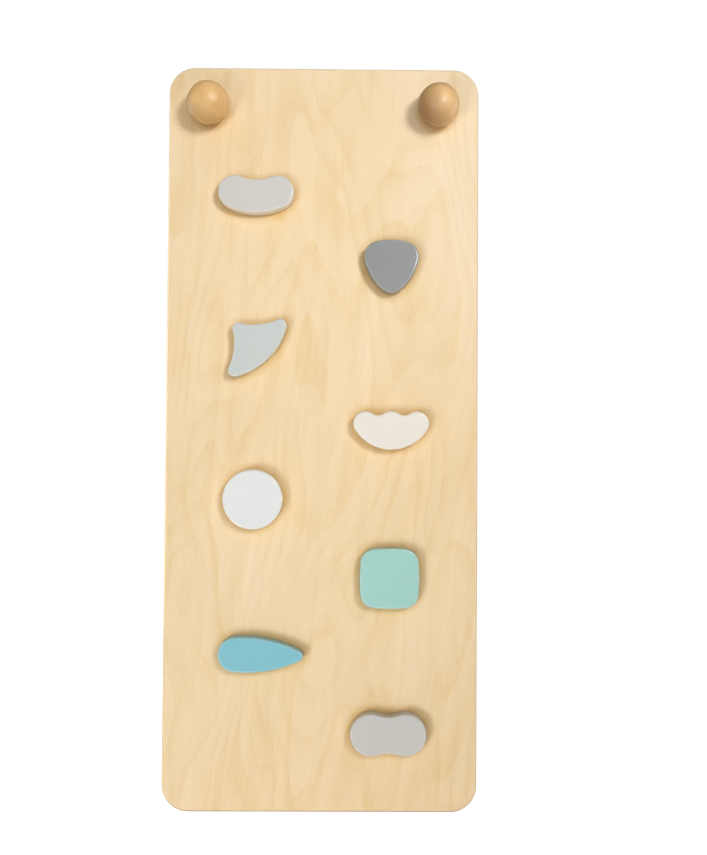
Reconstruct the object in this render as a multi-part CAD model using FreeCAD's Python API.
import FreeCAD, Part
import os
import math

# Children's climbing panel: an upright plywood board with eight low holds, two
# turned ball grips near the top and two hook blocks on the back that hang it
# over a round rung.
#
# Frame, millimetres:  +X to the climber's right, +Z up, the climbing face
# looks along -Y.  The origin is the middle of the board's bottom edge, half
# way through its thickness.

V = FreeCAD.Vector
TO_FRONT = V(0, -1, 0)
TO_BACK = V(0, 1, 0)

# ---------------------------------------------------------------- dimensions
# climbing board
BOARD_W = 420.0
BOARD_H = 1000.0
BOARD_T = 18.0
BOARD_CORNER_R = 35.0
BOARD_EDGE_R = 3.0         # round-over on the front and back edges
FRONT_Y = -BOARD_T / 2     # climbing face
BACK_Y = BOARD_T / 2

# holds
HOLD_T = 18.0              # how far they stand out from the board
HOLD_EDGE_R = 3.0          # round-over on the front edge
HOLD_BACK_R = 2.0          # round-over on the edge that meets the board
DISC_R = 39.5              # radius of the round hold

# countersunk wood screws, through the board into the holds and through the
# hooks into the board
SCREW_SHANK_R = 2.4
SCREW_HEAD_R = 4.8
SCREW_RIM = 0.4            # straight rim above the cone
SCREW_TIP = 4.0            # length of the point
SCREW_TIP_R = 0.35         # radius of its blunt end
SCREW_CLEAR_R = SCREW_SHANK_R + 0.35
HOLD_SCREW_LEN = 30.0
HOOK_SCREW_LEN = 25.0
RECESS_W = 1.3             # cross recess: slot width, length and depth
RECESS_L = 4.6
RECESS_D = 2.0
RECESS_CORE_R = 1.35       # tapered middle of the recess, at the head
RECESS_CORE_END_R = 0.5    # and at its bottom
RECESS_CORE_D = RECESS_D + 0.4

# ball grips
BALL_R = 27.5
BALL_SEAT_R = 10.0         # flat that meets the board
BALL_SEAT_CHAMFER = 0.6    # broken edge of that flat
BALL_X = 153.0             # either side of the middle
BALL_Z = 941.0
BALL_Y = FRONT_Y - math.sqrt(BALL_R ** 2 - BALL_SEAT_R ** 2)

# bolt, washer and threaded insert of each ball grip
BOLT_R = 4.0
BOLT_LEN = 80.0            # under the head
BOLT_END_CHAMFER = 0.7
BOLT_HEAD_R = 6.5
BOLT_HEAD_H = 5.0
BOLT_CROWN_R = 2.2         # round-over of the head
BOLT_HEX_AF = 5.0          # key size across flats
BOLT_HEX_D = 2.8
BOLT_CLEAR_R = BOLT_R + 0.25
WASHER_R = 8.0
WASHER_T = 1.6
INSERT_R = 6.0
INSERT_LEN = 14.0
BORE_CONE_LEN = 0.6 * INSERT_R     # cone beyond the insert in the ball
BORE_LEN = 16.0            # depth of the bolt's bore in the ball

# hook blocks on the back
HOOK_W = 24.0              # width along the rung
HOOK_WEB = 12.0            # wood between the board and the rung seat
RUNG_SEAT_R = 32.0 / 2 + 0.5       # 32 mm rung with 0.5 play all round
RUNG_Z = 911.0             # height of the rung seat's axis
HOOK_LIP = 14.0            # thickness of the outer lip
HOOK_LIP_DROP = 22.0       # how far the lip reaches below the seat's axis
HOOK_TOP_Z = 960.0
HOOK_BOTTOM_Z = 836.0
HOOK_EDGE_R = 2.0          # round-over along the two sides
HOOK_OUTER_R = 14.0        # upper back corner of the profile
HOOK_FOOT_R = 5.0          # lower back corner of the web
HOOK_CBORE_R = WASHER_R + 0.6
HOOK_CBORE_D = 10.0
HOOK_SCREW_Z = (880.0, 850.0)

WEB_Y = BACK_Y + HOOK_WEB          # back face of the web
RUNG_Y = WEB_Y + RUNG_SEAT_R
LIP_Y = RUNG_Y + RUNG_SEAT_R       # inner face of the lip
HOOK_BACK_Y = LIP_Y + HOOK_LIP
CBORE_FLOOR_Y = HOOK_BACK_Y - HOOK_CBORE_D
BOLT_HEAD_Y = CBORE_FLOOR_Y + WASHER_T     # underside of the bolt head

# Outlines of the holds.  "lobes" is a ring of corner circles (x, z, radius),
# anticlockwise seen from the front.  "links" are the tangent arcs (kind,
# radius) from each lobe to the next: "bulge" curves outwards, "waist" inwards.
# "at" is the hold's centre (x, z) on the board; lobes and the two "screws"
# are measured from it.  A hold without lobes is round.
HOLDS = {
    "bean": dict(at=(-89.5, 824.0),
                 lobes=[(28.5, 1.7, 22.0), (-28.5, 1.7, 22.0)],
                 links=[("waist", 50.5), ("bulge", 88.5)],
                 screws=[(-27.0, 0.5), (27.0, 0.5)]),
    "pick": dict(at=(92.0, 725.0),
                 lobes=[(16.1, 15.3, 20.5), (-16.1, 15.3, 20.5), (0.0, -15.6, 18.3)],
                 links=[("bulge", 90.0), ("bulge", 70.0), ("bulge", 70.0)],
                 screws=[(0.0, 17.0), (0.0, -17.0)]),
    "fin": dict(at=(-86.0, 617.0),
                lobes=[(30.3, 30.3, 8.4), (-25.5, 25.5, 7.7), (-30.3, -30.3, 8.4)],
                links=[("waist", 76.8), ("waist", 76.8), ("bulge", 91.0)],
                screws=[(12.0, 14.0), (-14.0, -12.0)]),
    "cloud": dict(at=(92.5, 508.0),
                  lobes=[(34.2, 9.2, 16.2), (0.0, 7.5, 18.0), (-34.0, 9.2, 16.2)],
                  links=[("waist", 13.4), ("waist", 13.4), ("bulge", 56.8)],
                  screws=[(-28.0, 6.0), (28.0, 6.0)]),
    "disc": dict(at=(-90.5, 415.5),
                 screws=[(-20.0, 0.0), (20.0, 0.0)]),
    "square": dict(at=(91.5, 312.5),
                   lobes=[(20.1, -20.6, 18.6), (18.9, 19.1, 19.8),
                          (-18.9, 19.1, 19.8), (-20.1, -20.6, 18.6)],
                   links=[("bulge", 240.0)] * 4,
                   screws=[(-20.0, 0.0), (20.0, 0.0)]),
    "drop": dict(at=(-78.0, 211.3),
                 lobes=[(48.8, -1.3, 7.2), (-33.5, 0.2, 22.7)],
                 links=[("bulge", 167.0), ("bulge", 167.0)],
                 screws=[(-30.0, 0.0), (18.0, 0.0)]),
    "peanut": dict(at=(91.0, 107.4),
                   lobes=[(22.9, 0.0, 27.6), (-22.9, 0.0, 27.6)],
                   links=[("waist", 45.7), ("waist", 45.7)],
                   screws=[(-25.0, 0.0), (25.0, 0.0)]),
}
SIDES = {"left": -BALL_X, "right": BALL_X}


# ------------------------------------------------------------------- helpers
def cylinder(x, y, z, radius, length, direction=TO_FRONT):
    return Part.makeCylinder(radius, length, V(x, y, z), direction)


def arc(start, middle, end):
    return Part.Arc(start, middle, end).toShape()


def turn(face, x, z):
    """Solid of revolution about the Y-wise axis through x, z."""
    return face.revolve(V(x, 0, z), V(0, 1, 0), 360.0)


def lies_at_y(edge, y):
    box = edge.BoundBox
    return abs(box.YMin - y) < 1e-4 and abs(box.YMax - y) < 1e-4


def edges_at_y(shape, y):
    return [edge for edge in shape.Edges if lies_at_y(edge, y)]


# ---------------------------------------------------------------- wood screws
def screw_blank(x, z, head_y, length):
    """Countersunk screw without its recess, pointing at the front."""
    cone_end = SCREW_RIM + SCREW_HEAD_R - SCREW_SHANK_R
    outline = [  # (radius, depth below the top of the head)
        (0.0, 0.0), (SCREW_HEAD_R, 0.0), (SCREW_HEAD_R, SCREW_RIM),
        (SCREW_SHANK_R, cone_end), (SCREW_SHANK_R, length - SCREW_TIP),
        (SCREW_TIP_R, length), (0.0, length), (0.0, 0.0)]
    points = [V(x + radius, head_y - depth, z) for radius, depth in outline]
    return turn(Part.Face(Part.makePolygon(points)), x, z)


def make_screw(x, z, head_y, length):
    def slot(width, height):
        corner = V(x - width / 2, head_y - RECESS_D, z - height / 2)
        return Part.makeBox(width, RECESS_D, height, corner)

    core = Part.makeCone(RECESS_CORE_R, RECESS_CORE_END_R, RECESS_CORE_D,
                         V(x, head_y, z), TO_FRONT)
    cross = slot(RECESS_L, RECESS_W).fuse(slot(RECESS_W, RECESS_L))
    recess = cross.fuse(core).removeSplitter()
    return screw_blank(x, z, head_y, length).cut(recess)


def make_screws(places, head_y, length):
    return Part.makeCompound([make_screw(x, z, head_y, length) for x, z in places])


def hold_screw_places(hold):
    x, z = hold["at"]
    return [(x + dx, z + dz) for dx, dz in hold["screws"]]


def hook_screw_places(x):
    return [(x, z) for z in HOOK_SCREW_Z]


# ---------------------------------------------------------------------- holds
def circles_meet(center1, reach1, center2, reach2, side):
    """Point at the two reaches from the centres.

    side is 1 for the point left of the way from center1 to center2, -1 for
    the one on its right."""
    dx, dz = center2[0] - center1[0], center2[1] - center1[1]
    gap = math.hypot(dx, dz)
    dx, dz = dx / gap, dz / gap
    along = (reach1 ** 2 - reach2 ** 2 + gap ** 2) / (2 * gap)
    across = side * math.sqrt(reach1 ** 2 - along ** 2)
    return (center1[0] + dx * along - dz * across,
            center1[1] + dz * along + dx * across)


def toward(start, target, distance):
    """Point at a distance along the ray from start through target."""
    dx, dz = target[0] - start[0], target[1] - start[1]
    length = math.hypot(dx, dz)
    return (start[0] + dx / length * distance, start[1] + dz / length * distance)


def arc_middle(center, radius, start, end, ccw):
    angle0 = math.atan2(start[1] - center[1], start[0] - center[0])
    angle1 = math.atan2(end[1] - center[1], end[0] - center[0])
    if ccw and angle1 <= angle0:
        angle1 += 2 * math.pi
    if not ccw and angle1 >= angle0:
        angle1 -= 2 * math.pi
    angle = (angle0 + angle1) / 2
    return (center[0] + radius * math.cos(angle), center[1] + radius * math.sin(angle))


def hold_outline(lobes, links, at):
    """Closed wire of tangent arcs on the climbing face."""
    link_arcs = []         # (center, radius, start, end, ccw)
    for i, (kind, radius) in enumerate(links):
        x1, z1, r1 = lobes[i]
        x2, z2, r2 = lobes[(i + 1) % len(lobes)]
        # a bulge wraps round its two lobes from the inside of the ring,
        # a waist touches them from outside
        side = 1 if kind == "bulge" else -1
        center = circles_meet((x1, z1), radius - side * r1,
                              (x2, z2), radius - side * r2, side)
        start = toward(center, (x1, z1), radius)
        end = toward(center, (x2, z2), radius)
        link_arcs.append((center, radius, start, end, kind == "bulge"))

    def arc_edge(center, radius, start, end, ccw):
        middle = arc_middle(center, radius, start, end, ccw)
        return arc(*[V(at[0] + x, FRONT_Y, at[1] + z) for x, z in (start, middle, end)])

    edges = []
    for i, (x, z, radius) in enumerate(lobes):
        lobe_start = link_arcs[i - 1][3]
        lobe_end = link_arcs[i][2]
        edges.append(arc_edge((x, z), radius, lobe_start, lobe_end, True))
        edges.append(arc_edge(*link_arcs[i]))
    return Part.Wire(edges)


def make_hold(hold):
    at = hold["at"]
    if "lobes" in hold:
        outline = hold_outline(hold["lobes"], hold["links"], at)
        body = Part.Face(outline).extrude(TO_FRONT * HOLD_T)
    else:
        body = cylinder(at[0], FRONT_Y, at[1], DISC_R, HOLD_T)
    body = body.makeFillet(HOLD_EDGE_R, edges_at_y(body, FRONT_Y - HOLD_T))
    body = body.makeFillet(HOLD_BACK_R, edges_at_y(body, FRONT_Y))
    for x, z in hold_screw_places(hold):
        body = body.cut(screw_blank(x, z, BACK_Y, HOLD_SCREW_LEN))
    return body


# ------------------------------------------------------------ climbing board
def make_board():
    board = Part.makeBox(BOARD_W, BOARD_T, BOARD_H, V(-BOARD_W / 2, FRONT_Y, 0))
    corners = [edge for edge in board.Edges if edge.BoundBox.YLength > BOARD_T - 0.01]
    board = board.makeFillet(BOARD_CORNER_R, corners)
    rims = edges_at_y(board, FRONT_Y) + edges_at_y(board, BACK_Y)
    board = board.makeFillet(BOARD_EDGE_R, rims)

    # countersunk clearance holes for the hold screws
    for hold in HOLDS.values():
        for x, z in hold_screw_places(hold):
            blank = screw_blank(x, z, BACK_Y, HOLD_SCREW_LEN)
            sleeve = cylinder(x, BACK_Y, z, SCREW_CLEAR_R, BOARD_T)
            board = board.cut(blank.fuse(sleeve))

    # bolt holes and the ends of the hook screws
    for bolt_x in SIDES.values():
        board = board.cut(cylinder(bolt_x, BACK_Y, BALL_Z, BOLT_CLEAR_R, BOARD_T))
        for x, z in hook_screw_places(bolt_x):
            board = board.cut(screw_blank(x, z, WEB_Y, HOOK_SCREW_LEN))
    return board


# ----------------------------------------------------------------- ball grips
def make_ball(x):
    """Ball turned about its bolt axis, with a flat seat and a stepped bore."""
    z = BALL_Z
    chamfer_y = FRONT_Y - BALL_SEAT_CHAMFER
    chamfer_r = math.sqrt(BALL_R ** 2 - (chamfer_y - BALL_Y) ** 2)
    pole = V(x, BALL_Y - BALL_R, z)
    seat_center = V(x, FRONT_Y, z)
    seat_rim = V(x + BALL_SEAT_R - BALL_SEAT_CHAMFER, FRONT_Y, z)
    chamfer_rim = V(x + chamfer_r, chamfer_y, z)
    profile = [
        Part.makeLine(pole, seat_center),
        Part.makeLine(seat_center, seat_rim),
        Part.makeLine(seat_rim, chamfer_rim),
        arc(chamfer_rim, V(x + BALL_R, BALL_Y, z), pole),
    ]
    ball = turn(Part.Face(Part.Wire(profile)), x, z)

    insert_end_y = FRONT_Y - INSERT_LEN
    insert_bore = cylinder(x, FRONT_Y, z, INSERT_R, INSERT_LEN)
    cone = Part.makeCone(INSERT_R, 0.0, BORE_CONE_LEN, V(x, insert_end_y, z), TO_FRONT)
    bolt_bore = cylinder(x, insert_end_y, z, BOLT_R, BORE_LEN - INSERT_LEN)
    return ball.cut(insert_bore.fuse(cone).fuse(bolt_bore))


def make_ring(x, y, outer_r, inner_r, length):
    """Plain ring on a ball's bolt axis, from y towards the front."""
    outer = cylinder(x, y, BALL_Z, outer_r, length)
    return outer.cut(cylinder(x, y, BALL_Z, inner_r, length))


def make_bolt(x):
    z = BALL_Z
    top_y = BOLT_HEAD_Y + BOLT_HEAD_H
    head = cylinder(x, BOLT_HEAD_Y, z, BOLT_HEAD_R, BOLT_HEAD_H, TO_BACK)
    head = head.makeFillet(BOLT_CROWN_R, edges_at_y(head, top_y))
    shank = cylinder(x, BOLT_HEAD_Y, z, BOLT_R, BOLT_LEN)
    shank = shank.makeChamfer(BOLT_END_CHAMFER, edges_at_y(shank, BOLT_HEAD_Y - BOLT_LEN))
    bolt = head.fuse(shank).removeSplitter()

    hex_r = BOLT_HEX_AF / math.sqrt(3)
    angles = [math.radians(60 * i) for i in range(7)]
    hexagon = Part.makePolygon([V(x + hex_r * math.cos(angle), top_y,
                                  z + hex_r * math.sin(angle)) for angle in angles])
    return bolt.cut(Part.Face(hexagon).extrude(TO_FRONT * BOLT_HEX_D))


# ---------------------------------------------------------------- hook blocks
def make_hook(x):
    """Block with a rung seat that opens downwards."""
    def point(y, z):
        return V(x - HOOK_W / 2, y, z)

    def line(y1, z1, y2, z2):
        return Part.makeLine(point(y1, z1), point(y2, z2))

    lip_r = HOOK_LIP / 2
    lip_bottom = RUNG_Z - HOOK_LIP_DROP
    lip_arc_z = lip_bottom + lip_r
    outer_y, outer_z = HOOK_BACK_Y - HOOK_OUTER_R, HOOK_TOP_Z - HOOK_OUTER_R
    foot_y, foot_z = WEB_Y - HOOK_FOOT_R, HOOK_BOTTOM_Z + HOOK_FOOT_R
    outer_diag = HOOK_OUTER_R * math.sqrt(0.5)
    foot_diag = HOOK_FOOT_R * math.sqrt(0.5)
    profile = [
        line(BACK_Y, HOOK_BOTTOM_Z, BACK_Y, HOOK_TOP_Z),
        line(BACK_Y, HOOK_TOP_Z, outer_y, HOOK_TOP_Z),
        arc(point(outer_y, HOOK_TOP_Z), point(outer_y + outer_diag, outer_z + outer_diag),
            point(HOOK_BACK_Y, outer_z)),
        line(HOOK_BACK_Y, outer_z, HOOK_BACK_Y, lip_arc_z),
        arc(point(HOOK_BACK_Y, lip_arc_z), point(HOOK_BACK_Y - lip_r, lip_bottom),
            point(LIP_Y, lip_arc_z)),
        line(LIP_Y, lip_arc_z, LIP_Y, RUNG_Z),
        arc(point(LIP_Y, RUNG_Z), point(RUNG_Y, RUNG_Z + RUNG_SEAT_R),
            point(WEB_Y, RUNG_Z)),
        line(WEB_Y, RUNG_Z, WEB_Y, foot_z),
        arc(point(WEB_Y, foot_z), point(foot_y + foot_diag, foot_z - foot_diag),
            point(foot_y, HOOK_BOTTOM_Z)),
        line(foot_y, HOOK_BOTTOM_Z, BACK_Y, HOOK_BOTTOM_Z),
    ]
    hook = Part.Face(Part.Wire(profile)).extrude(V(HOOK_W, 0, 0))

    # both side outlines, except where they meet the board
    rims = [edge for edge in hook.Edges
            if edge.BoundBox.XLength < 1e-4 and not lies_at_y(edge, BACK_Y)]
    hook = hook.makeFillet(HOOK_EDGE_R, rims)

    hook = hook.cut(cylinder(x, HOOK_BACK_Y, BALL_Z, HOOK_CBORE_R, HOOK_CBORE_D))
    hook = hook.cut(cylinder(x, CBORE_FLOOR_Y, BALL_Z, BOLT_CLEAR_R,
                             CBORE_FLOOR_Y - BACK_Y))
    for screw_x, screw_z in hook_screw_places(x):
        hook = hook.cut(screw_blank(screw_x, screw_z, WEB_Y, HOOK_SCREW_LEN))
    return hook


# ------------------------------------------------------------ build and write
shapes = {"climbing_board": make_board()}
for name, hold in HOLDS.items():
    shapes["hold_" + name] = make_hold(hold)
    shapes["screws_" + name] = make_screws(hold_screw_places(hold), BACK_Y, HOLD_SCREW_LEN)
for side, x in SIDES.items():
    shapes["ball_grip_" + side] = make_ball(x)
    shapes["ball_insert_" + side] = make_ring(x, FRONT_Y, INSERT_R, BOLT_R, INSERT_LEN)
    shapes["ball_washer_" + side] = make_ring(x, BOLT_HEAD_Y, WASHER_R, BOLT_CLEAR_R,
                                              WASHER_T)
    shapes["ball_bolt_" + side] = make_bolt(x)
    shapes["rung_hook_" + side] = make_hook(x)
    shapes["hook_screws_" + side] = make_screws(hook_screw_places(x), WEB_Y,
                                                HOOK_SCREW_LEN)

os.makedirs("parts", exist_ok=True)
for name, shape in shapes.items():
    if len(shape.Solids) == 1:
        shape = shape.Solids[0]
    assert shape.isValid(), name
    shape.exportStep(os.path.join("parts", name + ".step"))
